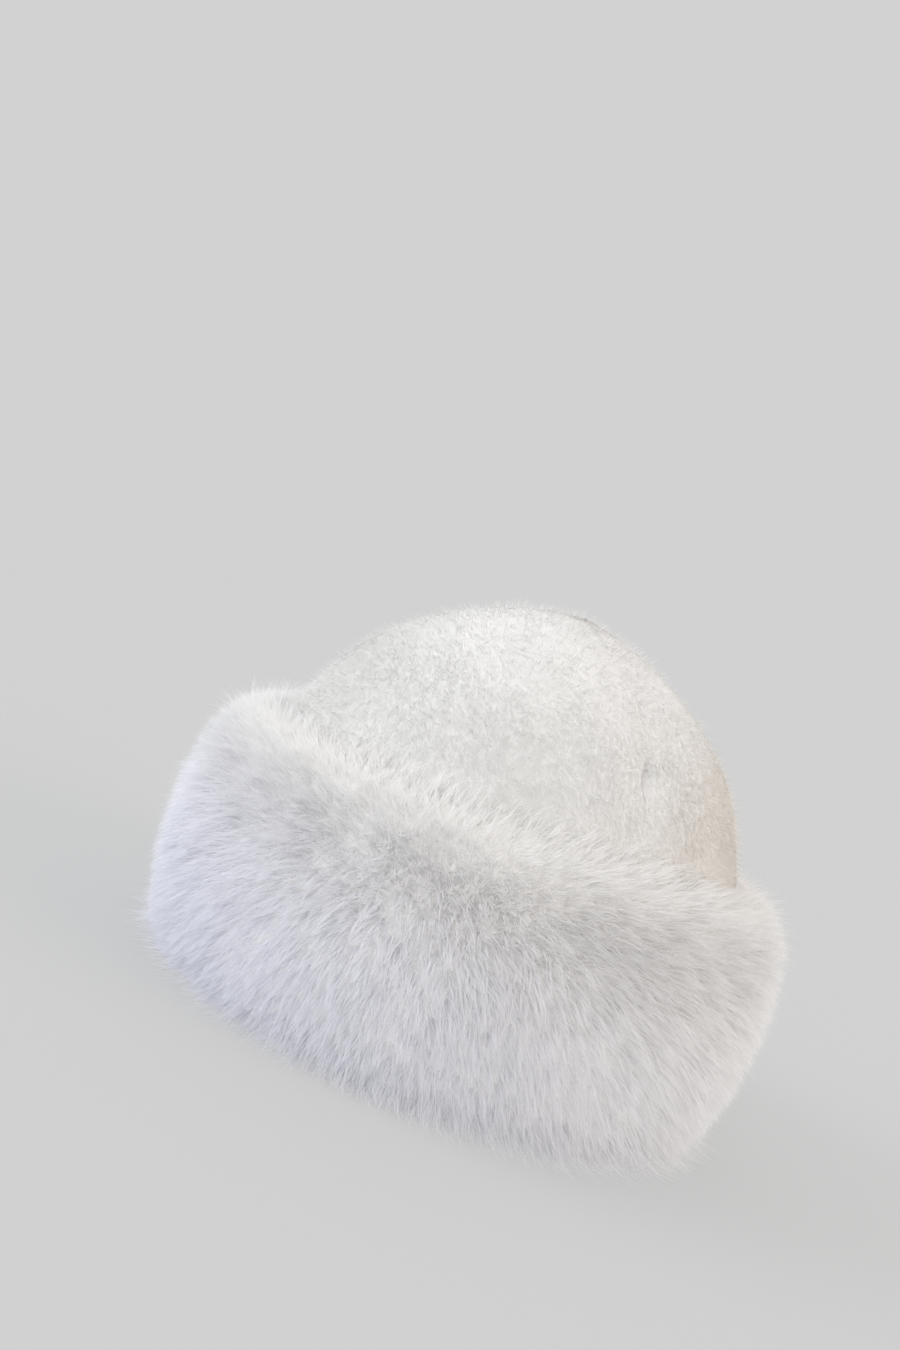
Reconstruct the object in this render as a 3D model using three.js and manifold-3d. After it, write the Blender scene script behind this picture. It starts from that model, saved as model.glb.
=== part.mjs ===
// A white furry hat: six plush crown panels sewn to a deep, bulging brim of long fur.
// Millimetres, +Z up, the front faces -Y, and the brim's hem stands on z = 0.

import * as THREE from 'three';
import { mergeVertices } from 'three/addons/utils/BufferGeometryUtils.js';
import Module from 'manifold-3d';

const wasm = await Module();
wasm.setup();

// Head opening, measured inside at the seam between crown and brim
const headHalfWidth = 90;
const headHalfLength = 96;

// Crown
const panelCount = 6;
const crownWall = 12;
const crownRise = 95;
const panelGap = 0.3;
const valleyDepth = 2.5;
const valleySharpness = 8;
const panelTipRadius = 1;

// Brim
const seamHeight = 93;
const seamGap = 0.3;
const hemFlare = 16;
const backingReach = 31;
const furReach = 46;

// Fur locks on the brim
const locksPerTier = 30;
const lockHalfWidth = 13;
const lockHalfDepth = 4.5;
const lockWobble = 2.5;
const combLean = 0.25;

// Mesh fineness
const panelColumns = 8;
const panelRows = 10;
const outlineSteps = 400;
const ringSteps = 60;
const lockSides = 4;

// Crown outline from the seam to the top: rise as a share of the crown's rise, out as a share of
// its half width or half length
const crownOutline = [
  { rise: 0.000, out: 1.000 },
  { rise: 0.130, out: 1.000 },
  { rise: 0.263, out: 0.967 },
  { rise: 0.493, out: 0.860 },
  { rise: 0.622, out: 0.749 },
  { rise: 0.766, out: 0.587 },
  { rise: 0.902, out: 0.365 },
  { rise: 0.975, out: 0.150 },
  { rise: 1.000, out: 0.000 },
];

// Brim backing with its dense underfur: up as a share of the seam height, flare as a share of the
// hem's flare (inner face), out as a share of the backing's reach beyond the head (outer face)
const backingSection = [
  { up: 1.00, flare: 0.00, out: 0.40 },
  { up: 0.89, flare: 0.19, out: 0.87 },
  { up: 0.61, flare: 0.56, out: 1.00 },
  { up: 0.25, flare: 0.95, out: 0.94 },
  { up: 0.00, flare: 1.00, out: 0.84 },
];

// Fur locks, a row for each tier from the crown down: out as a share of the fur's reach beyond the
// head, up as a share of the seam height, for a lock's root, its bend and its tip
const lockTiers = [
  { rootOut: 0.29, rootUp: 0.92, bendOut: 0.52, bendUp: 1.27, tipOut: 0.94, tipUp: 0.91, turn: 0.00 },
  { rootOut: 0.39, rootUp: 0.86, bendOut: 0.89, bendUp: 1.02, tipOut: 0.99, tipUp: 0.65, turn: 0.50 },
  { rootOut: 0.43, rootUp: 0.67, bendOut: 0.97, bendUp: 0.78, tipOut: 0.98, tipUp: 0.38, turn: 0.00 },
  { rootOut: 0.46, rootUp: 0.47, bendOut: 0.97, bendUp: 0.54, tipOut: 0.89, tipUp: 0.15, turn: 0.50 },
  { rootOut: 0.46, rootUp: 0.28, bendOut: 0.90, bendUp: 0.31, tipOut: 0.62, tipUp: 0.00, turn: 0.00 },
];

// A lock's thickness from root to tip, as shares of its half width and half depth
const lockSections = [
  { along: 0.00, size: 0.75 },
  { along: 0.35, size: 1.00 },
  { along: 0.72, size: 0.72 },
];

const lengthExtra = headHalfLength - headHalfWidth;
const crownOutHalfWidth = headHalfWidth + crownWall;
const backingTop = seamHeight - seamGap / 2;
const panelBottom = seamHeight + seamGap / 2;

// A point round the hat: angle from the front, positive towards +X, reach along the width axis
function around(angle, reach, height) {
  return new THREE.Vector3(reach * Math.sin(angle), -(reach + lengthExtra) * Math.cos(angle), height);
}

// A repeatable number from -1 to 1 for each seed and channel
function scatter(seed, channel) {
  return Math.sin(seed * 12.9898 + channel * 78.233);
}

function meshGeometry(points, triangles) {
  const geometry = new THREE.BufferGeometry();
  const positions = points.flatMap((point) => [point.x, point.y, point.z]);
  geometry.setAttribute('position', new THREE.Float32BufferAttribute(positions, 3));
  geometry.setIndex(triangles);
  return geometry;
}

function toSolid(geometry) {
  const merged = mergeVertices(geometry, 1e-5);
  const vertProperties = new Float32Array(merged.attributes.position.array);
  const triVerts = new Uint32Array(merged.index.array);
  return new wasm.Manifold(new wasm.Mesh({ numProp: 3, vertProperties, triVerts }));
}

function toGeometry(solid) {
  const mesh = solid.getMesh();
  const geometry = new THREE.BufferGeometry();
  geometry.setAttribute('position', new THREE.BufferAttribute(mesh.vertProperties, 3));
  geometry.setIndex(new THREE.BufferAttribute(mesh.triVerts, 1));
  return geometry;
}

// A closed solid swept round the hat from a closed outline of { reach, height }, listed
// anticlockwise with reach to the right and height upwards
function ringSolid(outline) {
  const points = [];
  const triangles = [];
  const rows = outline.length;
  for (let step = 0; step < ringSteps; step += 1) {
    const angle = (step / ringSteps) * 2 * Math.PI;
    outline.forEach(({ reach, height }) => points.push(around(angle, reach, height)));
  }
  for (let step = 0; step < ringSteps; step += 1) {
    const next = (step + 1) % ringSteps;
    for (let row = 0; row < rows; row += 1) {
      const rowNext = (row + 1) % rows;
      const a = step * rows + row;
      const b = step * rows + rowNext;
      const c = next * rows + rowNext;
      const d = next * rows + row;
      triangles.push(a, c, b, a, d, c);
    }
  }
  return meshGeometry(points, triangles);
}

const outlineCurve = new THREE.SplineCurve(
  crownOutline.map(({ rise, out }) => new THREE.Vector2(out, rise)),
);

// A point of a crown panel: across runs from -1 to 1 between its seams, along from seam to top
function panelPoint(centreAngle, across, along, baseReach, rise, dip) {
  const { x: out, y: up } = outlineCurve.getPoint(along);
  const valley = dip * out * across ** valleySharpness;
  const halfWidth = Math.max(panelTipRadius, baseReach * out - valley);
  const halfLength = halfWidth + lengthExtra * out;
  const span = Math.PI / panelCount;
  const polar = (angle) => 1 / Math.hypot(Math.sin(angle) / halfWidth, Math.cos(angle) / halfLength);
  const edge = polar(centreAngle + Math.sign(across) * span);
  const angle = centreAngle + across * (span - Math.asin(panelGap / 2 / edge));
  const radius = polar(angle);
  return new THREE.Vector3(radius * Math.sin(angle), -radius * Math.cos(angle), panelBottom + rise * up);
}

function crownPanel(centreAngle) {
  const points = [];
  const triangles = [];
  const columns = panelColumns + 1;
  const rows = panelRows + 1;
  const nearTip = ({ x }) => x * headHalfWidth < panelTipRadius;
  const lastAlong = outlineCurve.getPoints(outlineSteps).findIndex(nearTip) / outlineSteps;
  const addFace = (baseReach, rise, dip) => {
    for (let row = 0; row < rows; row += 1) {
      for (let column = 0; column < columns; column += 1) {
        const across = Math.sin((column / panelColumns - 0.5) * Math.PI);
        points.push(panelPoint(centreAngle, across, (row / panelRows) * lastAlong, baseReach, rise, dip));
      }
    }
  };
  addFace(crownOutHalfWidth, crownRise, valleyDepth);
  addFace(headHalfWidth, crownRise - crownWall, 0);
  const outer = (row, column) => row * columns + column;
  const inner = (row, column) => rows * columns + row * columns + column;
  const quad = (a, b, c, d) => triangles.push(a, b, c, a, c, d);
  for (let row = 0; row < panelRows; row += 1) {
    for (let column = 0; column < panelColumns; column += 1) {
      quad(outer(row, column), outer(row, column + 1), outer(row + 1, column + 1), outer(row + 1, column));
      quad(inner(row, column), inner(row + 1, column), inner(row + 1, column + 1), inner(row, column + 1));
    }
    quad(outer(row, 0), outer(row + 1, 0), inner(row + 1, 0), inner(row, 0));
    quad(outer(row, panelColumns), inner(row, panelColumns), inner(row + 1, panelColumns),
      outer(row + 1, panelColumns));
  }
  for (let column = 0; column < panelColumns; column += 1) {
    quad(outer(0, column), inner(0, column), inner(0, column + 1), outer(0, column + 1));
    quad(outer(panelRows, column), outer(panelRows, column + 1), inner(panelRows, column + 1),
      inner(panelRows, column));
  }
  return meshGeometry(points, triangles);
}

// One tapered lock of fur, rooted in the backing, bent outwards and combed to one side
function furLock(tier, index, tierNumber) {
  const seed = tierNumber * locksPerTier + index + 1;
  const turn = ((index + tier.turn) / locksPerTier) * 2 * Math.PI;
  const tangent = new THREE.Vector3(Math.cos(turn), Math.sin(turn), 0);
  const place = (out, up) => around(turn, headHalfWidth + furReach * out, seamHeight * up);
  const root = place(tier.rootOut, tier.rootUp);
  const bend = place(tier.bendOut, tier.bendUp);
  const tip = place(tier.tipOut, tier.tipUp);
  const lean = combLean * root.distanceTo(tip) * Math.cos(turn);
  bend.addScaledVector(tangent, lean / 3 + lockWobble * scatter(seed, 1));
  tip.addScaledVector(tangent, lean + lockWobble * scatter(seed, 2));
  tip.z += Math.max(-tip.z, lockWobble * scatter(seed, 3));
  const path = new THREE.QuadraticBezierCurve3(root, bend, tip);
  const points = [];
  const triangles = [];
  lockSections.forEach(({ along, size }) => {
    const centre = path.getPoint(along);
    const heading = path.getTangent(along);
    const side = tangent.clone().addScaledVector(heading, -tangent.dot(heading)).normalize();
    const face = new THREE.Vector3().crossVectors(heading, side);
    for (let corner = 0; corner < lockSides; corner += 1) {
      const angle = (corner / lockSides) * 2 * Math.PI;
      const point = centre.clone();
      point.addScaledVector(side, Math.cos(angle) * lockHalfWidth * size);
      point.addScaledVector(face, Math.sin(angle) * lockHalfDepth * size);
      points.push(point);
    }
  });
  points.push(tip);
  const lastRing = (lockSections.length - 1) * lockSides;
  for (let corner = 0; corner < lockSides; corner += 1) {
    const next = (corner + 1) % lockSides;
    for (let ring = 0; ring < lastRing; ring += lockSides) {
      triangles.push(ring + corner, ring + next, ring + lockSides + next);
      triangles.push(ring + corner, ring + lockSides + next, ring + lockSides + corner);
    }
    triangles.push(lastRing + corner, lastRing + next, points.length - 1);
  }
  for (let corner = 1; corner < lockSides - 1; corner += 1) {
    triangles.push(0, corner + 1, corner);
  }
  return meshGeometry(points, triangles);
}

function brimGeometry() {
  const inner = backingSection.map(({ up, flare }) => (
    { reach: headHalfWidth + hemFlare * flare, height: backingTop * up }));
  const outer = backingSection.map(({ up, out }) => (
    { reach: headHalfWidth + backingReach * out, height: backingTop * up }));
  let solid = toSolid(ringSolid([...inner, ...outer.reverse()]));
  lockTiers.forEach((tier, tierNumber) => {
    for (let index = 0; index < locksPerTier; index += 1) {
      solid = solid.add(toSolid(furLock(tier, index, tierNumber)));
    }
  });
  const floorSize = 4 * (headHalfLength + furReach);
  const floorCut = new THREE.BoxGeometry(floorSize, floorSize, seamHeight);
  floorCut.deleteAttribute('normal');
  floorCut.deleteAttribute('uv');
  floorCut.translate(0, 0, -seamHeight / 2);
  const crownReach = (crownOutHalfWidth + seamGap) / Math.cos(Math.PI / ringSteps);
  const crownSpace = ringSolid([
    { reach: panelTipRadius, height: backingTop },
    { reach: crownReach, height: backingTop },
    { reach: crownReach, height: seamHeight + crownRise },
    { reach: panelTipRadius, height: seamHeight + crownRise },
  ]);
  return toGeometry(solid.subtract(toSolid(floorCut)).subtract(toSolid(crownSpace)));
}

const plushWhite = { color: 0xe8e9e6, roughness: 0.95, metalness: 0 };
const furWhite = { color: 0xe2e2e2, roughness: 0.9, metalness: 0 };

const group = new THREE.Group();
for (let number = 1; number <= panelCount; number += 1) {
  const centreAngle = ((number - 1) / panelCount) * 2 * Math.PI;
  const panel = new THREE.Mesh(crownPanel(centreAngle), new THREE.MeshStandardMaterial(plushWhite));
  panel.name = `crown_panel_${number}`;
  group.add(panel);
}
const brim = new THREE.Mesh(brimGeometry(), new THREE.MeshStandardMaterial(furWhite));
brim.name = 'brim';
group.add(brim);

export default group;
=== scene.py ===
from math import atan, cos, pi, radians, sin

import bpy
import numpy as np
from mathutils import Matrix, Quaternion, Vector


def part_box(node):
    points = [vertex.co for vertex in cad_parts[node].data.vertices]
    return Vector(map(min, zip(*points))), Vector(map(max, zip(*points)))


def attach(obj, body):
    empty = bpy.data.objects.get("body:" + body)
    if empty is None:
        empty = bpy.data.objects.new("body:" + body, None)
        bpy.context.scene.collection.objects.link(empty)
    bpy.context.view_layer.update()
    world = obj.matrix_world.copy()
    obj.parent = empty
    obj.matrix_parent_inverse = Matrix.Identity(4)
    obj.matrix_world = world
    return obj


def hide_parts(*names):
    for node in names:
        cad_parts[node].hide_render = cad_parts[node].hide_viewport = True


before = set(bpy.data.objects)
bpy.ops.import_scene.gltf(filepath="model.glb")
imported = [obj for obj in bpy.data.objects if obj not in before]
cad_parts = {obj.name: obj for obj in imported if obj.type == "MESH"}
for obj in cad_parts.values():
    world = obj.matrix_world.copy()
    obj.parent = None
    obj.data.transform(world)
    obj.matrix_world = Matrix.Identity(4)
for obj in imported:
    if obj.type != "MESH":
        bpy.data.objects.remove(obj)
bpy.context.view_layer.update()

# A white fur hat in metres: six plush crown gores over a deep brim of long fur.
# The front faces -Y, and the hem rests on z = 0.

# Seeds of the random draws, to which each gore's or sector's number is added
PILE_SEED = 100
FUR_SEED = 200

# Each hair's cell of the texture: where its sides lie, and its root and length
UV_SIDES = (0.15, 0.85)
UV_ROOT = 0.08
UV_LENGTH = 0.84

UP = np.array([0, 0, 1.0])

# Heights read from the frame
CROWN_LOW, CROWN_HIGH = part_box("crown_panel_1")
SEAM_Z = CROWN_LOW.z
CROWN_RISE = CROWN_HIGH.z - CROWN_LOW.z

# The hat's plan: a reach is a half width, and each half length is LENGTH_EXTRA more
LENGTH_EXTRA = 0.006
CROWN_WALL = 0.012
CROWN_REACH = 0.102
HEAD_REACH = CROWN_REACH - CROWN_WALL
PANELS = 6

# Down as the photograph has it: the hat leans, so its fur hangs to one side of its own axis
LEAN = radians(22.5)
HANG = np.array([sin(LEAN), 0.0, -cos(LEAN)])

# Crown gores: their felt lies a little inside the crown's reach and dips at the seams
PILE_INSET = 0.0012
PANEL_GAP = 0.00005
VALLEY_DEPTH = 0.0006
VALLEY_SHARPNESS = 8
TIP_REACH = 0.001
SKIN_COLUMNS = 24
SKIN_ROWS = 34
OUTLINE_SAMPLES = 401

# The crease on one front seam: the seam's angle, how alike an angle has to be to count as that
# seam's (1 is equal), the crease's place and length as shares of the way up, its depth, and how
# closely it keeps to the seam
CREASE_SEAM = pi / 6
SAME_SEAM = 0.999
CREASE_ALONG = 0.42
CREASE_LENGTH = 0.05
CREASE_DEPTH = 0.0060
CREASE_SHARPNESS = 22

# The pile is left out in the middle of the crease and cut shorter beside it
CREASE_BARE = 0.4
CREASE_TRIM = 0.7
CREASE_TRIM_SHARPNESS = CREASE_SHARPNESS / 3

# Crown pile: most hairs are laid flat, and the fuzz stands up and is longer. A lift is how far a
# hair leans out for each part that it falls.
PILE_PER_PANEL = 40000
PILE_TRIES = 3
APEX_EXTRA = 0.08
PILE_WIDTH = 0.00028
PILE_LENGTH = 0.0036
PILE_LENGTHS = (0.6, 1.1)
PILE_SINK = 0.0003
LAID_LIFT = (0.07, 0.26)
FUZZ_SHARE = 0.04
FUZZ_LIFT = (1.2, 3.0)
FUZZ_LENGTH = 1.5

# How the pile turns to one side: in soft patches, by waves over the crown, and hair by hair
PATCH_WAVES = [((140.0, 90.0, 60.0), 0.0), ((-70.0, 120.0, 110.0), 1.3)]
PATCH_TURN = 0.20
FALL_SPREAD = 0.24
RIBBON_TURN = 0.15
SLOPE_STEP = 0.004
PILE_FORM_SHADING = 0.4

# Where a painted warm shade darkens and warms the pile, towards +X, its shaded side
PAINTED_SHADE_FROM = 0.045
PAINTED_SHADE_WIDTH = 0.030

# Brim backing and underfur
HEM_FLARE = 0.016
RING_STEPS = 120
BACKING_RINGS = 12
UNDERFUR_RINGS = 22

# Long fur: its clumps and hairs, with widths as shares from root to tip
SECTORS = 6
CLUMPS_PER_SECTOR = 2900
HAIRS_PER_CLUMP = 8
CLUMP_RADIUS = 0.0030
MEAN_REACH = 0.125
ROOT_LINE = 0.150
HAIR_WIDTH = 0.00044
HAIR_TAPER = [1.0, 0.95, 0.62, 0.0]
HAIR_POINTS = len(HAIR_TAPER)
SHORTEST_HAIR = 0.003
LONGEST_HAIR = 0.045
TRIM_ROUNDS = 8
DROOP = 0.75
DROOP_CURVE = 1.4
FLOOR_CLEARANCE = 0.0006

# How clumps differ: the sweep away from the front, smooth waves and chance. Lifts are in
# radians, and a side is a share of the hair's own way out.
SWEEP = 0.5
WANDER_WAVES = [(5, 7, 1.0), (11, -12, 2.1), (23, 17, 3.7)]
WANDER_SIZE = 2.2
LIFT_SEED = 1.0
LIFT_WANDER = 0.05
LIFT_SPREAD = 0.11
SIDE_SEED = 4.0
SIDE_WANDER = 0.12
SIDE_SPREAD = 0.12

# Where clumps end, as shares of the brushed form: over the crown's foot, and uneven at the hem
OVER_CROWN = 0.22
OVER_CROWN_FADE = 8
RAGGED_SLOPE = 5
RAGGED = (-0.14, 0.16)
TRIM_SPREAD = 0.012

# How a clump's hairs differ. Strays aren't drawn to the clump, and end farther out than it does.
HAIR_SPREAD = 0.07
HAIR_SHORTFALL = 0.05
GATHER = 0.84
GATHER_CURVE = 1.3
HAIR_TURN = 0.45
CLUMP_SHADE = 0.5
FUR_FORM_SHADING = 0.25
STRAY_SHARE = 0.10
STRAY_SPREAD = 0.30
STRAY_BEYOND = (0.02, 0.12)
STRAY_WIDTH = 0.6

# The fringe at the hem, from this share of the way down: looser, less gathered and longer
HEM_FROM = 0.80
HEM_STRAYS = 0.50
HEM_SPREAD = 0.10
HEM_LIFT = 0.3
HEM_BEYOND = 0.24
HEM_UNGATHERED = 0.5

# Where painted cool light tints the long fur: low down, and more towards -X
PAINTED_COOL_SLOPE = 2.2
PAINTED_COOL_OFFSET = 0.5
PAINTED_COOL_FRONT = 0.65
PAINTED_COOL_SIDE = 0.45

# Two irrational steps, rounded, that spread places evenly
EVEN_STEPS = (0.7548776662, 0.5698402910)

# Crown outline: rise as a share of the crown's rise, out as a share of its reach, a little wider
# at the foot, where the brim's fur lifts the pile
CROWN_OUTLINE = [
    (0.000, 1.030),
    (0.130, 1.012),
    (0.263, 0.967),
    (0.380, 0.915),
    (0.500, 0.850),
    (0.622, 0.752),
    (0.766, 0.588),
    (0.902, 0.362),
    (0.975, 0.160),
    (1.000, 0.000),
]

# Brim backing, inner face: (height, reach) as shares of the seam height and the hem's flare
BACKING_INSIDE = [(1.00, 0.00), (0.89, 0.19), (0.61, 0.56), (0.25, 0.95), (0.02, 1.00)]

# Brim underfur, outer face from the crown down to the hem: (height, reach) in metres
UNDERFUR = [
    (0.1020, 0.1030),
    (0.1010, 0.1110),
    (0.0950, 0.1172),
    (0.0870, 0.1200),
    (0.0740, 0.1210),
    (0.0560, 0.1230),
    (0.0400, 0.1248),
    (0.0250, 0.1236),
    (0.0120, 0.1198),
    (0.0020, 0.1145),
]

# Hair roots from the crown down to the hem: height and reach in metres, and how far above the
# level the hair leaves, in degrees
FUR_ROOTS = [
    (0.0950, 0.1030, 96),
    (0.0955, 0.1065, 82),
    (0.0925, 0.1105, 66),
    (0.0870, 0.1140, 50),
    (0.0780, 0.1165, 33),
    (0.0650, 0.1180, 13),
    (0.0500, 0.1185, -5),
    (0.0350, 0.1175, -20),
    (0.0220, 0.1140, -33),
    (0.0130, 0.1095, -40),
    (0.0050, 0.1085, -22),
]

# Outer form of the brushed fur: (height, reach) in metres, from the crown down to the floor
FUR_FORM = [
    (0.1085, 0.1040),
    (0.1058, 0.1180),
    (0.1000, 0.1260),
    (0.0900, 0.1320),
    (0.0780, 0.1350),
    (0.0630, 0.1365),
    (0.0450, 0.1360),
    (0.0280, 0.1340),
    (0.0190, 0.1315),
    (0.0100, 0.1290),
    (0.0000, 0.1240),
]
FORM_SAMPLES = 80
FORM_CENTRE_REACH = 0.108
FORM_CENTRE_Z = 0.050

# Hair materials: colours along the hair, the painted light tint where the hair's tint fact is 1
# (painted warm shade on the plush, painted cool light on the long fur), how much darker the darkest
# hairs are, and the share of light let through
PLUSH = {
    "root": (0.80, 0.798, 0.785),
    "body": (0.80, 0.798, 0.785),
    "tip": (0.80, 0.798, 0.785),
    "painted_light_tint": (0.965, 0.93, 0.885),
    "darker": 0.01,
    "through": 0.2,
}
LONG_FUR = {
    # The darker, warmer root colour is painted shade deep in the fur, where hairs shadow each other
    "root": (0.96, 0.945, 0.92),
    "body": (0.98, 0.976, 0.968),
    "tip": (0.99, 0.988, 0.983),
    "painted_light_tint": (0.93, 0.94, 1.0),
    "darker": 0.09,
    "through": 0.5,
}
BODY_PLACE = 0.45
HAIR_ROUGHNESS = 0.62
HAIR_SPECULAR = 0.2

# Felt materials: the mottle's two colours, its scale and the sheen
PLUSH_BASE = {"dark": (0.735, 0.732, 0.72), "light": (0.755, 0.752, 0.74), "scale": 60, "sheen": 0.8}
UNDERFUR_FELT = {"dark": (0.94, 0.925, 0.90), "light": (0.97, 0.958, 0.938), "scale": 120, "sheen": 0.2}
BACKING = {"dark": (0.70, 0.69, 0.66), "light": (0.76, 0.75, 0.72), "scale": 300, "sheen": 0.2}
MOTTLE_RANGE = (0.3, 0.7)
MOTTLE_DETAIL = 6
FELT_SCALE = 900
FELT_DETAIL = 4
FELT_STRENGTH = 0.5
FELT_DEPTH = 0.001
FELT_ROUGHNESS = 0.9

# Studio: the floor's trim and glow are shares of the world's own brightness
WORLD_LIGHT = 0.645
FLOOR_HALF = 60
FLOOR_TRIM = 0.985
FLOOR_GLOW = 0.6
CAMERA_LEVEL = 0.638
CAMERA_HEIGHT = 0.174
CAMERA_LENS = 39.4
SENSOR = 36
AIM_POINT = Vector((0, 0, 0.091))
PHOTO_SIZE = (900, 1350)
AIM_PIXEL = (499.9, 824.5)

# Soft lights: where each comes from, its strength, its spread in degrees and its colour
SUNS = [
    ("key", (-0.45, -0.50, 0.74), 0.44, 90, (1.0, 1.0, 1.0)),
    ("front", (0.00, -0.99, 0.03), 1.08, 40, (1.0, 1.0, 1.0)),
    ("left", (-0.96, -0.10, 0.26), 1.90, 50, (0.94, 0.95, 1.0)),
    ("right", (0.91, -0.22, 0.40), 1.25, 50, (1.0, 0.86, 0.78)),
    ("rim", (0.00, 0.85, 0.50), 0.60, 90, (1.0, 0.99, 0.98)),
]


# Geometry


def around(angle, reach, height):
    """Points round the hat: angle from the front, positive towards +X."""
    x = reach * np.sin(angle)
    y = -(reach + LENGTH_EXTRA) * np.cos(angle)
    return np.stack([x, y, height + 0 * x], axis=-1)


def outward(angle):
    return np.stack([np.sin(angle), -np.cos(angle), 0 * angle], axis=-1)


def sideways(angle):
    return np.stack([np.cos(angle), np.sin(angle), 0 * angle], axis=-1)


def unit(vectors):
    return vectors / np.maximum(np.linalg.norm(vectors, axis=-1, keepdims=True), 1e-12)


def spline(table, share):
    """Points of a smooth curve through the table's rows, share from 0 to 1."""
    rows = np.array(table, float)
    last = len(rows) - 1
    place = np.clip(np.asarray(share, float), 0, 1) * last
    index = np.minimum(place.astype(int), last - 1)
    t = (place - index)[..., None]
    before, start = rows[np.maximum(index - 1, 0)], rows[index]
    end, after = rows[index + 1], rows[np.minimum(index + 2, last)]
    v0, v1 = (end - before) / 2, (after - start) / 2
    cubic = (2 * start - 2 * end + v0 + v1) * t**3
    return cubic + (-3 * start + 3 * end - 2 * v0 - v1) * t**2 + v0 * t + start


def wander(angle, share, seed):
    """A smooth value from about -1 to 1 over the brim, the same where the round closes."""
    waves = [np.sin(a * angle + s * share + k * seed) for a, s, k in WANDER_WAVES]
    return sum(waves) / WANDER_SIZE


def evenly(count, rng):
    """Two random shares for each of count places, spread without clusters."""
    steps = np.arange(count)[:, None] * np.array(EVEN_STEPS)
    return ((steps + rng.uniform(0, 1, 2)) % 1).T


# Materials


def nodes_of(name):
    material = bpy.data.materials.new(name)
    material.use_nodes = True
    tree = material.node_tree
    tree.nodes.clear()
    return material, tree


def node(tree, kind, **values):
    made = tree.nodes.new(kind)
    for key, value in values.items():
        setattr(made, key, value)
    return made


def hair_colour(tree, root, body, tip, painted_light_tint, darker):
    """Colour from the hair attribute: red is the way along the hair, green its shade and blue how much
    of the painted light tint it takes."""
    link = tree.links.new
    facts = node(tree, "ShaderNodeAttribute", attribute_name="hair")
    split = node(tree, "ShaderNodeSeparateColor")
    link(facts.outputs["Color"], split.inputs["Color"])
    ramp = node(tree, "ShaderNodeValToRGB")
    ramp.color_ramp.elements[0].color = (*root, 1)
    ramp.color_ramp.elements[1].position = 1.0
    ramp.color_ramp.elements[1].color = (*tip, 1)
    middle = ramp.color_ramp.elements.new(BODY_PLACE)
    middle.color = (*body, 1)
    link(split.outputs["Red"], ramp.inputs["Fac"])
    spread = node(tree, "ShaderNodeMapRange")
    spread.inputs["To Min"].default_value = 1 - darker
    spread.inputs["To Max"].default_value = 1.0
    link(split.outputs["Green"], spread.inputs["Value"])
    tinting = node(tree, "ShaderNodeMix", data_type="VECTOR")
    tinting.inputs[4].default_value = (1, 1, 1)
    tinting.inputs[5].default_value = painted_light_tint
    link(split.outputs["Blue"], tinting.inputs["Factor"])
    tinted = node(tree, "ShaderNodeVectorMath", operation="MULTIPLY")
    link(ramp.outputs["Color"], tinted.inputs[0])
    link(tinting.outputs[1], tinted.inputs[1])
    shade = node(tree, "ShaderNodeVectorMath", operation="SCALE")
    link(tinted.outputs["Vector"], shade.inputs[0])
    link(spread.outputs["Result"], shade.inputs["Scale"])
    return shade.outputs["Vector"]


def hair_material(name, root, body, tip, painted_light_tint, darker, through):
    """White hair that lets some light through."""
    material, tree = nodes_of(name)
    link = tree.links.new
    colour = hair_colour(tree, root, body, tip, painted_light_tint, darker)
    surface = node(tree, "ShaderNodeBsdfPrincipled")
    surface.inputs["Roughness"].default_value = HAIR_ROUGHNESS
    surface.inputs["Specular IOR Level"].default_value = HAIR_SPECULAR
    link(colour, surface.inputs["Base Color"])
    glow = node(tree, "ShaderNodeBsdfTranslucent")
    link(colour, glow.inputs["Color"])
    mix = node(tree, "ShaderNodeMixShader")
    mix.inputs["Fac"].default_value = through
    link(surface.outputs["BSDF"], mix.inputs[1])
    link(glow.outputs["BSDF"], mix.inputs[2])
    out = node(tree, "ShaderNodeOutputMaterial")
    link(mix.outputs["Shader"], out.inputs["Surface"])
    return material


def felt_material(name, dark, light, scale, sheen):
    """Dense felt under the hair: fine mottled white with a felted bump."""
    material, tree = nodes_of(name)
    link = tree.links.new
    where = node(tree, "ShaderNodeTexCoord")
    mottle = node(tree, "ShaderNodeTexNoise")
    mottle.inputs["Scale"].default_value = scale
    mottle.inputs["Detail"].default_value = MOTTLE_DETAIL
    link(where.outputs["Object"], mottle.inputs["Vector"])
    ramp = node(tree, "ShaderNodeValToRGB")
    for stop, place, colour in zip(ramp.color_ramp.elements, MOTTLE_RANGE, (dark, light)):
        stop.position = place
        stop.color = (*colour, 1)
    link(mottle.outputs["Fac"], ramp.inputs["Fac"])
    felt = node(tree, "ShaderNodeTexNoise")
    felt.inputs["Scale"].default_value = FELT_SCALE
    felt.inputs["Detail"].default_value = FELT_DETAIL
    link(where.outputs["Object"], felt.inputs["Vector"])
    bump = node(tree, "ShaderNodeBump")
    bump.inputs["Strength"].default_value = FELT_STRENGTH
    bump.inputs["Distance"].default_value = FELT_DEPTH
    link(felt.outputs["Fac"], bump.inputs["Height"])
    surface = node(tree, "ShaderNodeBsdfPrincipled")
    surface.inputs["Roughness"].default_value = FELT_ROUGHNESS
    surface.inputs["Sheen Weight"].default_value = sheen
    link(ramp.outputs["Color"], surface.inputs["Base Color"])
    link(bump.outputs["Normal"], surface.inputs["Normal"])
    out = node(tree, "ShaderNodeOutputMaterial")
    link(surface.outputs["BSDF"], out.inputs["Surface"])
    return material


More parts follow.
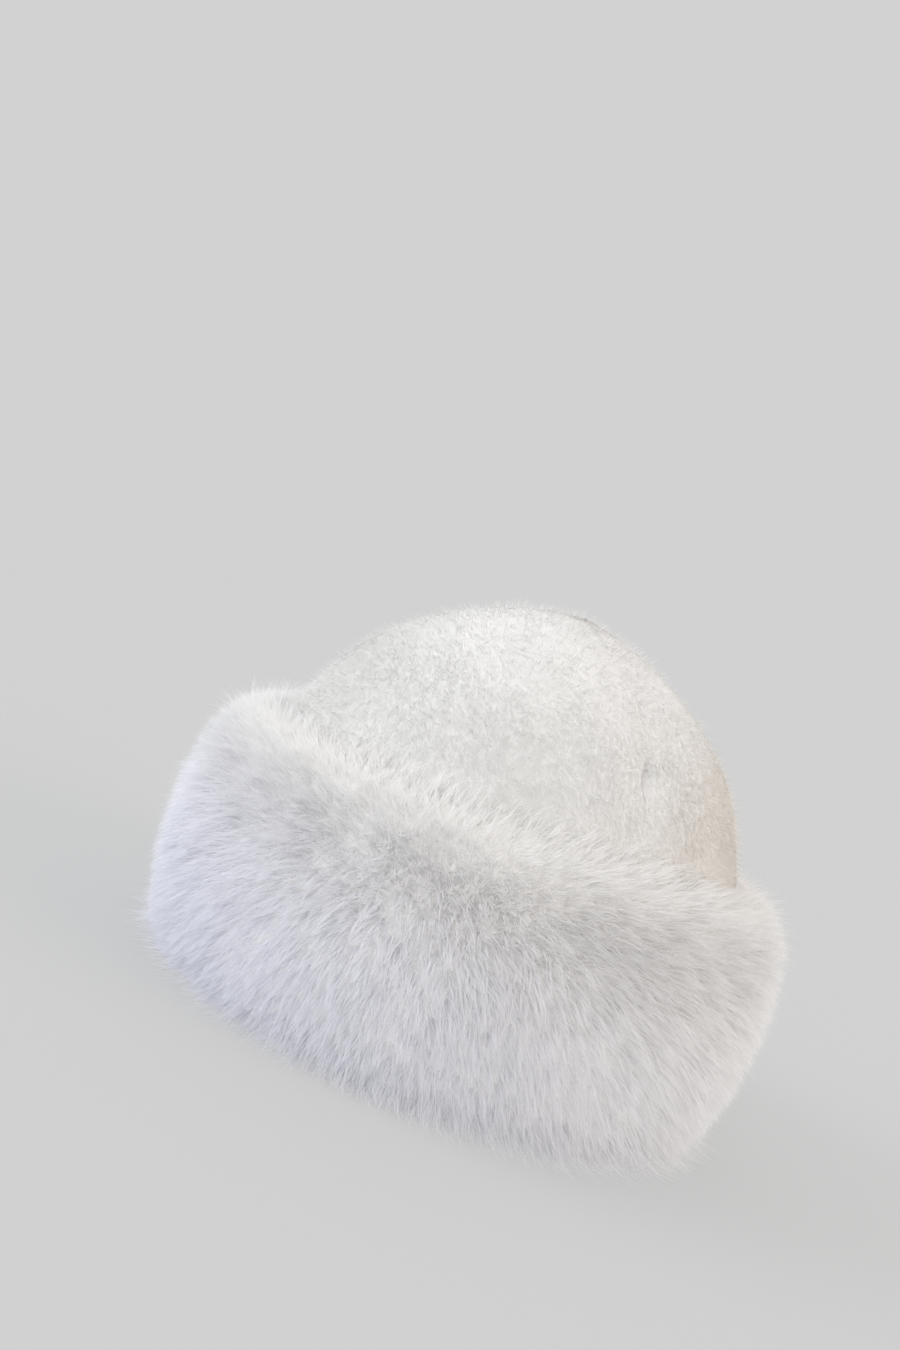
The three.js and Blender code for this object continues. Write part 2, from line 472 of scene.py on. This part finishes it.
def floor_material(shade):
    """A matt pale floor. FLOOR_GLOW of its brightness is its own glow, so that shadows stay
    light."""
    material, tree = nodes_of("studio_floor")
    surface = node(tree, "ShaderNodeBsdfPrincipled")
    surface.inputs["Base Color"].default_value = (*shade, 1)
    surface.inputs["Roughness"].default_value = 1.0
    surface.inputs["Specular IOR Level"].default_value = 0.0
    surface.inputs["Emission Color"].default_value = (1, 1, 1, 1)
    surface.inputs["Emission Strength"].default_value = FLOOR_GLOW * WORLD_LIGHT
    out = node(tree, "ShaderNodeOutputMaterial")
    tree.links.new(surface.outputs["BSDF"], out.inputs["Surface"])
    return material


# Meshes


def quads(*corners):
    """Faces from four equal grids of vertex numbers, one grid for each corner."""
    return np.stack(corners, axis=-1).reshape(-1, 4).tolist()


def make_object(name, vertices, faces, materials, picks):
    """A smooth mesh whose faces pick their materials by number."""
    mesh = bpy.data.meshes.new(name)
    mesh.from_pydata(np.asarray(vertices).tolist(), [], faces)
    mesh.validate()
    for material in materials:
        mesh.materials.append(material)
    mesh.shade_smooth()
    mesh.polygons.foreach_set("material_index", np.asarray(picks, np.int32))
    made = bpy.data.objects.new(name, mesh)
    bpy.context.collection.objects.link(made)
    return made


def ribbon_vertices(path, across, widths):
    """Two points on each side of a hair's path, and one at its tip."""
    hairs, points, _ = path.shape
    body = points - 1
    left = path[:, :body] - across[:, :body] * widths[:body, None] / 2
    right = path[:, :body] + across[:, :body] * widths[:body, None] / 2
    pairs = np.stack([left, right], axis=2).reshape(hairs, 2 * body, 3)
    return np.concatenate([pairs, path[:, body:]], axis=1).reshape(-1, 3)


def ribbon_loops(hairs, body):
    """Corner vertices of all faces, and where each face starts: quads up to a tip triangle."""
    start = (np.arange(hairs) * (2 * body + 1))[:, None]
    sides = [v for k in range(body - 1) for v in (2 * k, 2 * k + 1, 2 * k + 3, 2 * k + 2)]
    loops_one = np.array(sides + [2 * body - 2, 2 * body - 1, 2 * body])
    loops = (start + loops_one[None]).reshape(-1)
    sizes_one = np.array([4] * (body - 1) + [3])
    starts_one = np.concatenate([[0], np.cumsum(sizes_one)[:-1]])
    starts = (np.arange(hairs)[:, None] * len(loops_one) + starts_one[None]).reshape(-1)
    return loops, starts


def hair_uv(mesh, hairs, body, loops):
    """Each hair has its own small cell of the texture."""
    columns = int(np.ceil(np.sqrt(hairs * 4)))
    rows = int(np.ceil(hairs / columns))
    cell = np.arange(hairs)
    side = np.tile(UV_SIDES, body)
    u = np.concatenate([side, [0.5]])
    v = np.concatenate([np.repeat(np.arange(body), 2), [body]]) / body
    u = (cell[:, None] % columns + u[None]) / columns
    v = (cell[:, None] // columns + UV_ROOT + UV_LENGTH * v[None]) / rows
    each = np.stack([u, v], axis=-1).reshape(-1, 2)
    layer = mesh.uv_layers.new(name="OFBake")
    layer.data.foreach_set("uv", each[loops].astype(np.float32).reshape(-1))


def ribbon_object(name, path, across, normals, facts, widths, material):
    """Tapered hairs as one mesh. path, across and normals are hair by point by xyz, and facts are each
    hair's shade and how much of the painted light tint it takes."""
    hairs, points, _ = path.shape
    body = points - 1
    vertices = ribbon_vertices(path, across, widths)
    loops, starts = ribbon_loops(hairs, body)
    mesh = bpy.data.meshes.new(name)
    mesh.vertices.add(len(vertices))
    mesh.vertices.foreach_set("co", vertices.astype(np.float32).reshape(-1))
    mesh.loops.add(len(loops))
    mesh.loops.foreach_set("vertex_index", loops.astype(np.int32))
    mesh.polygons.add(len(starts))
    mesh.polygons.foreach_set("loop_start", starts.astype(np.int32))
    mesh.update(calc_edges=True)
    mesh.materials.append(material)
    mesh.shade_smooth()
    paired = np.repeat(normals[:, :body], 2, axis=1)
    shading = np.concatenate([paired, normals[:, body:]], axis=1).reshape(-1, 3)
    mesh.normals_split_custom_set_from_vertices(unit(shading).tolist())
    along = np.concatenate([np.repeat(np.arange(body), 2), [body]]) / body
    colours = np.ones((hairs, 2 * body + 1, 4), np.float32)
    colours[..., 0] = along[None]
    colours[..., 1:3] = facts[:, None]
    layer = mesh.attributes.new("hair", "FLOAT_COLOR", "POINT")
    layer.data.foreach_set("color", colours.reshape(-1))
    hair_uv(mesh, hairs, body, loops)
    made = bpy.data.objects.new(name, mesh)
    bpy.context.collection.objects.link(made)
    return made


def finish_piece(piece):
    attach(piece, "root")


# Crown


def crease(centre, across, along):
    """How much the plush is parted, from 0 to 1: along a short stretch of one front seam."""
    seam = centre + np.sign(across) * pi / PANELS
    beside = (1 + np.cos(seam - CREASE_SEAM)) / 2 > SAME_SEAM
    return beside * np.exp(-(((along - CREASE_ALONG) / CREASE_LENGTH) ** 2))


def crown_point(centre, across, along, reach, rise, dip):
    """Points of a gore: across from -1 to 1 between its seams, along from its foot to the top.
    A dip sinks the seams, and the crease with them."""
    up, out = np.moveaxis(spline(CROWN_OUTLINE, along), -1, 0)
    fold = dip * out * np.abs(across) ** VALLEY_SHARPNESS
    if dip > 0:
        parted = CREASE_DEPTH * crease(centre, across, along)
        fold = fold + parted * np.abs(across) ** CREASE_SHARPNESS
    half_width = np.maximum(TIP_REACH, reach * out - fold)
    half_length = half_width + LENGTH_EXTRA * out
    span = pi / PANELS

    def polar(angle):
        return 1 / np.hypot(np.sin(angle) / half_width, np.cos(angle) / half_length)

    edge = polar(centre + np.sign(across) * span)
    angle = centre + across * (span - np.arcsin(PANEL_GAP / 2 / edge))
    radius = polar(angle)
    return np.stack(
        [radius * np.sin(angle), -radius * np.cos(angle), SEAM_Z + rise * up], axis=-1
    )


def crown_felt(centre, across, along):
    """Points of a gore's outer face, under the pile."""
    reach, rise = CROWN_REACH - PILE_INSET, CROWN_RISE - PILE_INSET
    return crown_point(centre, across, along, reach, rise, VALLEY_DEPTH)


def crown_last_along():
    """The share of the way up where a gore's inner face has narrowed to its tip."""
    share = np.linspace(0, 1, OUTLINE_SAMPLES)
    out = spline(CROWN_OUTLINE, share)[:, 1]
    return share[np.argmax(out * HEAD_REACH < TIP_REACH)]


def crown_skin(number, centre, outside, inside):
    """One gore as a closed wall: felt outside, backing on the inner face and the edges."""
    columns, rows = SKIN_COLUMNS + 1, SKIN_ROWS + 1
    across = np.sin(np.linspace(-0.5, 0.5, columns) * pi)[None, :] + np.zeros((rows, 1))
    along = np.linspace(0, crown_last_along(), rows)[:, None] + np.zeros((1, columns))
    outer = crown_felt(centre, across, along)
    inner = crown_point(centre, across, along, HEAD_REACH, CROWN_RISE - CROWN_WALL, 0.0)
    vertices = np.concatenate([outer.reshape(-1, 3), inner.reshape(-1, 3)])
    front = np.arange(rows * columns).reshape(rows, columns)
    back = front + rows * columns
    felt = quads(front[:-1, :-1], front[:-1, 1:], front[1:, 1:], front[1:, :-1])
    lining = quads(back[:-1, :-1], back[1:, :-1], back[1:, 1:], back[:-1, 1:])
    lining += quads(front[0, :-1], back[0, :-1], back[0, 1:], front[0, 1:])
    lining += quads(front[-1, 1:], back[-1, 1:], back[-1, :-1], front[-1, :-1])
    lining += quads(front[:-1, 0], front[1:, 0], back[1:, 0], back[:-1, 0])
    lining += quads(front[:-1, -1], back[:-1, -1], back[1:, -1], front[1:, -1])
    picks = [0] * len(felt) + [1] * len(lining)
    made = make_object(f"crown_skin_{number}", vertices, felt + lining, [outside, inside], picks)
    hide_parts(f"crown_panel_{number}")
    finish_piece(made)


def pile_places(centre, rng):
    """Where a gore's pile grows, across and along, and how much the crease shortens it."""
    tries = PILE_TRIES * PILE_PER_PANEL
    across, along = rng.uniform(-1, 1, tries), rng.uniform(0, crown_last_along(), tries)
    out = spline(CROWN_OUTLINE, along)[:, 1]
    keep = rng.uniform(0, 1, tries) < out + APEX_EXTRA
    keep &= crease(centre, across, along) * np.abs(across) ** CREASE_SHARPNESS < CREASE_BARE
    across, along = across[keep][:PILE_PER_PANEL], along[keep][:PILE_PER_PANEL]
    parted = crease(centre, across, along) * np.abs(across) ** CREASE_TRIM_SHARPNESS
    return across, along, parted


def crown_pile(number, centre, material, rng):
    """Short plush that lies over a gore and falls with the hang."""
    across, along, parted = pile_places(centre, rng)
    count = len(across)
    root = crown_felt(centre, across, along)
    beside = crown_felt(centre, across + SLOPE_STEP, along)
    above = crown_felt(centre, across, along + SLOPE_STEP)
    normal = unit(np.cross(beside - root, above - root))
    patch = sum(np.sin(root @ np.array(wave) + phase) for wave, phase in PATCH_WAVES)
    fall = unit(HANG - normal * (normal @ HANG)[:, None])
    side = unit(np.cross(normal, fall))
    fall = fall + side * (PATCH_TURN * patch[:, None] + rng.normal(0, FALL_SPREAD, (count, 1)))
    loose = rng.uniform(0, 1, (count, 1)) < FUZZ_SHARE
    standing, laid = rng.uniform(*FUZZ_LIFT, (count, 1)), rng.uniform(*LAID_LIFT, (count, 1))
    heading = unit(normal * np.where(loose, standing, laid) + fall)
    length = PILE_LENGTH * np.where(loose, FUZZ_LENGTH, 1) * rng.uniform(*PILE_LENGTHS, (count, 1))
    length = length * (1 - CREASE_TRIM * parted[:, None])
    path = np.stack([root - normal * PILE_SINK, root + heading * length], axis=1)
    flat = unit(np.cross(heading, normal + RIBBON_TURN * rng.normal(0, 1, (count, 3))))
    shading = unit(normal * PILE_FORM_SHADING + np.cross(flat, heading))
    # Painted warm shade: the pile is darker and warmer towards +X, on the crown's shaded side
    painted_warm_shade = np.clip((root[:, 0] - PAINTED_SHADE_FROM) / PAINTED_SHADE_WIDTH, 0, 1)
    facts = np.stack([rng.uniform(0, 1, count), painted_warm_shade], axis=-1)
    flat_by_point = np.repeat(flat[:, None], 2, axis=1)
    shading_by_point = np.repeat(shading[:, None], 2, axis=1)
    made = ribbon_object(
        f"crown_pile_{number}", path, flat_by_point, shading_by_point, facts,
        np.array([PILE_WIDTH, 0]), material
    )
    finish_piece(made)


# Brim


def brim_skin(outside, inside):
    """The brim's backing and underfur, a closed ring."""
    angle = np.arange(RING_STEPS) * 2 * pi / RING_STEPS
    inner = spline(BACKING_INSIDE, np.linspace(0, 1, BACKING_RINGS))
    outer = spline(UNDERFUR, np.linspace(1, 0, UNDERFUR_RINGS))
    heights = np.concatenate([inner[:, 0] * (SEAM_Z - PANEL_GAP), outer[:, 0]])
    reaches = np.concatenate([HEAD_REACH + HEM_FLARE * inner[:, 1], outer[:, 1]])
    rows = len(heights)
    rings = [around(angle, reach, height) for reach, height in zip(reaches, heights)]
    vertices = np.stack(rings, axis=1).reshape(-1, 3)
    here = np.arange(RING_STEPS * rows).reshape(RING_STEPS, rows)
    following = np.roll(here, -1, axis=0)
    faces = quads(here, following, np.roll(following, -1, axis=1), np.roll(here, -1, axis=1))
    row = np.arange(rows)
    is_backing = (row < BACKING_RINGS - 1) | (row == rows - 1)
    picks = np.tile(is_backing, RING_STEPS)
    made = make_object("brim_skin", vertices, faces, [outside, inside], picks)
    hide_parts("brim")
    finish_piece(made)


def form_share(points, angle):
    """How far out points lie, as a share of the brushed form's own distance, and their bearing."""
    form = spline(FUR_FORM, np.linspace(0, 1, FORM_SAMPLES))
    bearings = np.arctan2(form[:, 0] - FORM_CENTRE_Z, form[:, 1] - FORM_CENTRE_REACH)
    limits = np.hypot(form[:, 0] - FORM_CENTRE_Z, form[:, 1] - FORM_CENTRE_REACH)
    order = np.argsort(bearings)
    reach = (points * outward(angle)).sum(-1) - LENGTH_EXTRA * np.cos(angle) ** 2
    height = points[..., 2]
    bearing = np.arctan2(height - FORM_CENTRE_Z, reach - FORM_CENTRE_REACH)
    distance = np.hypot(height - FORM_CENTRE_Z, reach - FORM_CENTRE_REACH)
    return distance / np.interp(bearing, bearings[order], limits[order]), bearing


def grow(root, start, length):
    """Hair paths that leave along start and droop."""
    steps = HAIR_POINTS - 1
    path = [root]
    for step in range(steps):
        droop = DROOP * ((step + 0.5) / steps) ** DROOP_CURVE
        path.append(path[-1] + unit(start + droop * HANG) * length[:, None] / steps)
    return np.stack(path, axis=1)


def fur_paths(angle, share, lift, side, trim):
    """Hairs that end at their own share, trim, of the brushed form: hair by point by xyz."""
    height, reach, rise = np.moveaxis(spline(FUR_ROOTS, share), -1, 0)
    rise = np.radians(rise) + lift
    root = around(angle, reach, height)
    upright = UP * np.sin(rise)[:, None]
    start = unit(outward(angle) * np.cos(rise)[:, None] + upright + sideways(angle) * side[:, None])
    short = np.full(len(angle), SHORTEST_HAIR)
    long = np.full(len(angle), LONGEST_HAIR)
    for _ in range(TRIM_ROUNDS):
        middle = (short + long) / 2
        beyond = form_share(grow(root, start, middle)[:, -1], angle)[0] > trim
        long = np.where(beyond, middle, long)
        short = np.where(beyond, short, middle)
    return grow(root, start, short)


def clump_trims(angle, share, rng):
    """How far out clumps end: over the crown's foot in front and behind, uneven at the hem."""
    over_crown = OVER_CROWN * np.clip(1 - share * OVER_CROWN_FADE, 0, 1) * np.cos(angle) ** 2
    over_crown = over_crown * rng.uniform(0, 1, len(angle))
    at_hem = np.clip(share * RAGGED_SLOPE - (RAGGED_SLOPE - 1), 0, 1)
    ragged = at_hem * rng.uniform(*RAGGED, len(angle))
    return 1 + over_crown - ragged + rng.normal(0, TRIM_SPREAD, len(angle))


def sector_clumps(number, rng):
    """The angle, share, lift, side and trim of a sector's clumps. Sector 1 faces the front."""
    across, share = evenly(CLUMPS_PER_SECTOR, rng)
    sector = 2 * pi / SECTORS
    angle = (number - 1.5 + across) * sector
    lift = LIFT_WANDER * wander(angle, share, LIFT_SEED)
    lift = lift + rng.normal(0, LIFT_SPREAD, CLUMPS_PER_SECTOR)
    side = SWEEP * np.sin(angle) + SIDE_WANDER * wander(angle, share, SIDE_SEED)
    side = side + rng.normal(0, SIDE_SPREAD, CLUMPS_PER_SECTOR)
    return angle, share, lift, side, clump_trims(angle, share, rng)


def fur_ribbons(path, angle, rng):
    """Which way each hair's ribbon lies, facing outwards, and the normals that shade it."""
    heading = unit(np.gradient(path, axis=1))
    _, bearing = form_share(path, np.repeat(angle[:, None], HAIR_POINTS, axis=1))
    level = outward(angle)[:, None] * np.cos(bearing)[..., None]
    form_normal = unit(level + UP * np.sin(bearing)[..., None])
    tangent = sideways(angle)[:, None]
    flat = unit(tangent - heading * (tangent * heading).sum(-1, keepdims=True))
    turn = rng.normal(0, HAIR_TURN, (len(angle), 1, 1))
    flat = flat * np.cos(turn) + np.cross(heading, flat) * np.sin(turn)
    own = np.cross(flat, heading)
    facing = np.sign((own * (form_normal + outward(angle)[:, None])).sum(-1, keepdims=True))
    flat, own = flat * facing[:, :1], own * facing[:, :1]
    return flat, unit(form_normal * FUR_FORM_SHADING + own)


def brim_fur(number, material, rng):
    """Long hairs of one sector, grown in clumps that draw together at their tips."""
    clumps = sector_clumps(number, rng)
    core = fur_paths(*clumps)
    angle, share, lift, side, trim = (np.repeat(fact, HAIRS_PER_CLUMP) for fact in clumps)
    total = len(angle)
    angle = angle + rng.normal(0, CLUMP_RADIUS / MEAN_REACH, total)
    share = np.clip(share + rng.normal(0, CLUMP_RADIUS / ROOT_LINE, total), 0, 1)
    hem = np.clip((share - HEM_FROM) / (1 - HEM_FROM), 0, 1)
    stray = rng.uniform(0, 1, total) < STRAY_SHARE + HEM_STRAYS * hem
    spread = np.where(stray, STRAY_SPREAD, HAIR_SPREAD + HEM_SPREAD * hem)
    lift = lift + rng.normal(0, 1, total) * spread + HEM_LIFT * hem * stray
    side = side + rng.normal(0, 1, total) * spread
    beyond = rng.uniform(*STRAY_BEYOND, total) + HEM_BEYOND * hem * rng.uniform(0, 1, total)
    within = -np.abs(rng.normal(0, HAIR_SHORTFALL, total))
    path = fur_paths(angle, share, lift, side, trim + np.where(stray, beyond, within))
    gather = np.where(stray, 0, GATHER * (1 - HEM_UNGATHERED * hem))
    gather = gather[:, None] * np.linspace(0, 1, HAIR_POINTS) ** GATHER_CURVE
    pulled = np.repeat(core, HAIRS_PER_CLUMP, axis=0)
    path = path * (1 - gather[..., None]) + pulled * gather[..., None]
    path[..., 2] = np.maximum(path[..., 2], FLOOR_CLEARANCE)
    flat, shading = fur_ribbons(path, angle, rng)
    flat = flat * np.where(stray, STRAY_WIDTH, 1)[:, None, None]
    clump_shade = np.repeat(rng.uniform(0, 1, CLUMPS_PER_SECTOR), HAIRS_PER_CLUMP)
    shade = (1 - CLUMP_SHADE) * rng.uniform(0, 1, total) + CLUMP_SHADE * clump_shade
    # Painted cool light: the long fur is bluer low down and more towards -X
    painted_cool_light = np.clip(share * PAINTED_COOL_SLOPE - PAINTED_COOL_OFFSET, 0, 1)
    painted_cool_light = painted_cool_light * (PAINTED_COOL_FRONT - PAINTED_COOL_SIDE * np.sin(angle))
    facts = np.stack([shade, np.clip(painted_cool_light, 0, 1)], axis=-1)
    widths = HAIR_WIDTH * np.array(HAIR_TAPER)
    made = ribbon_object(f"brim_fur_{number}", path, flat, shading, facts, widths, material)
    finish_piece(made)


# Camera, lights and floor


def make_camera():
    """The photograph's camera: it aims at AIM_POINT, leans, then turns to bring that point to
    AIM_PIXEL."""
    data = bpy.data.cameras.new("photo_camera")
    data.lens = CAMERA_LENS
    data.sensor_width = SENSOR
    camera = bpy.data.objects.new("photo_camera", data)
    camera.location = (0, -CAMERA_LEVEL, CAMERA_HEIGHT)
    pixel = SENSOR / CAMERA_LENS / PHOTO_SIZE[1]
    down = atan((AIM_PIXEL[1] - PHOTO_SIZE[1] / 2) * pixel)
    right = atan((AIM_PIXEL[0] - PHOTO_SIZE[0] / 2) * pixel)
    turn = (AIM_POINT - camera.location).to_track_quat("-Z", "Y") @ Quaternion((0, 0, 1), LEAN)
    turn = turn @ Quaternion((1, 0, 0), down) @ Quaternion((0, 1, 0), right)
    camera.rotation_mode = "QUATERNION"
    camera.rotation_quaternion = turn
    bpy.context.collection.objects.link(camera)
    bpy.context.scene.camera = camera


def make_sun(name, towards, strength, spread, colour):
    data = bpy.data.lights.new(name, "SUN")
    data.energy = strength
    data.angle = radians(spread)
    data.color = colour
    light = bpy.data.objects.new(name, data)
    light.rotation_mode = "QUATERNION"
    light.rotation_quaternion = Vector(towards).to_track_quat("Z", "Y")
    bpy.context.collection.objects.link(light)


def floor_shade():
    """The albedo at which the open floor is as bright as the world behind it."""
    light = np.full(3, WORLD_LIGHT)
    for _, towards, strength, _, colour in SUNS:
        level = Vector(towards).normalized().z
        light += strength * level / pi * np.array(colour)
    return ((FLOOR_TRIM - FLOOR_GLOW) * WORLD_LIGHT / light).tolist()


def make_world():
    world = bpy.data.worlds.new("studio")
    world.use_nodes = True
    background = world.node_tree.nodes["Background"]
    background.inputs["Color"].default_value = (1, 1, 1, 1)
    background.inputs["Strength"].default_value = WORLD_LIGHT
    bpy.context.scene.world = world


def make_floor():
    half = FLOOR_HALF
    corners = [(-half, -half, 0), (half, -half, 0), (half, half, 0), (-half, half, 0)]
    material = floor_material(floor_shade())
    make_object("floor", corners, [(0, 1, 2, 3)], [material], [0])


# The scene

bpy.context.scene.view_settings.view_transform = "Standard"
make_camera()
make_world()
for sun in SUNS:
    make_sun(*sun)
make_floor()

plush = hair_material("plush", **PLUSH)
long_fur = hair_material("long_fur", **LONG_FUR)
plush_base = felt_material("plush_base", **PLUSH_BASE)
underfur = felt_material("underfur", **UNDERFUR_FELT)
backing = felt_material("backing", **BACKING)
for number in range(1, PANELS + 1):
    centre = (number - 1) * 2 * pi / PANELS
    crown_skin(number, centre, plush_base, backing)
    crown_pile(number, centre, plush, np.random.default_rng(PILE_SEED + number))
brim_skin(underfur, backing)
for number in range(1, SECTORS + 1):
    brim_fur(number, long_fur, np.random.default_rng(FUR_SEED + number))
